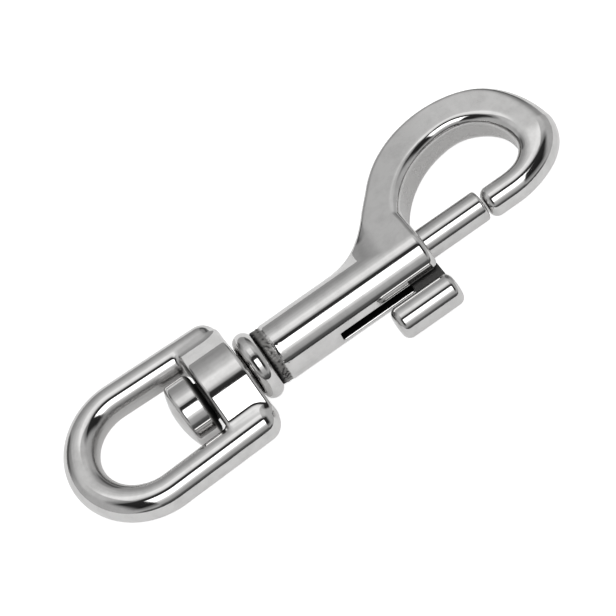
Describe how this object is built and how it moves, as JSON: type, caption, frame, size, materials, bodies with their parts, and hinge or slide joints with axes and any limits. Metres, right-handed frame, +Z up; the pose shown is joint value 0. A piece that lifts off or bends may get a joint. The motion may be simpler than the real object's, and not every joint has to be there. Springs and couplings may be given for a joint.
{
  "type": "swivel snap hook",
  "caption": "Swivel snap hook with a sprung bolt across the mouth, a thumb bar to draw it back, and a D-shaped swivel eye.",
  "frame": {"origin": "on the surface that the hook lies on, under the middle of its overall length and width", "axes": "+X along the barrel towards the hook's far side, +Y towards the back of the hook, +Z up off the surface"},
  "size_m": [0.09, 0.0318, 0.0114],
  "materials": {
    "cast_steel": "mirror-polished stainless steel casting",
    "turned_steel": "polished stainless steel",
    "spring_steel": "drawn spring wire"
  },
  "bodies": {
    "hook": {"hook_body": "cast_steel", "return_spring": "spring_steel", "swivel_collar": "cast_steel", "swivel_pin": "turned_steel"},
    "bolt": {"bolt_rod": "turned_steel", "thumb_bar": "turned_steel"},
    "eye": {"swivel_eye": "cast_steel"}
  },
  "joints": [
    {"name": "bolt_slide", "type": "slide", "parent": "hook", "child": "bolt", "axis": [-1, 0, 0], "range_m": [0, 0.0123], "stiffness_N_per_m": 400, "springref_m": -0.006, "deforming": ["return_spring"]},
    {"name": "eye_swivel", "type": "hinge", "parent": "hook", "child": "eye", "pos_m": [-0.0178, -0.00367, 0.0057], "axis": [1, 0, 0], "continuous": true}
  ]
}
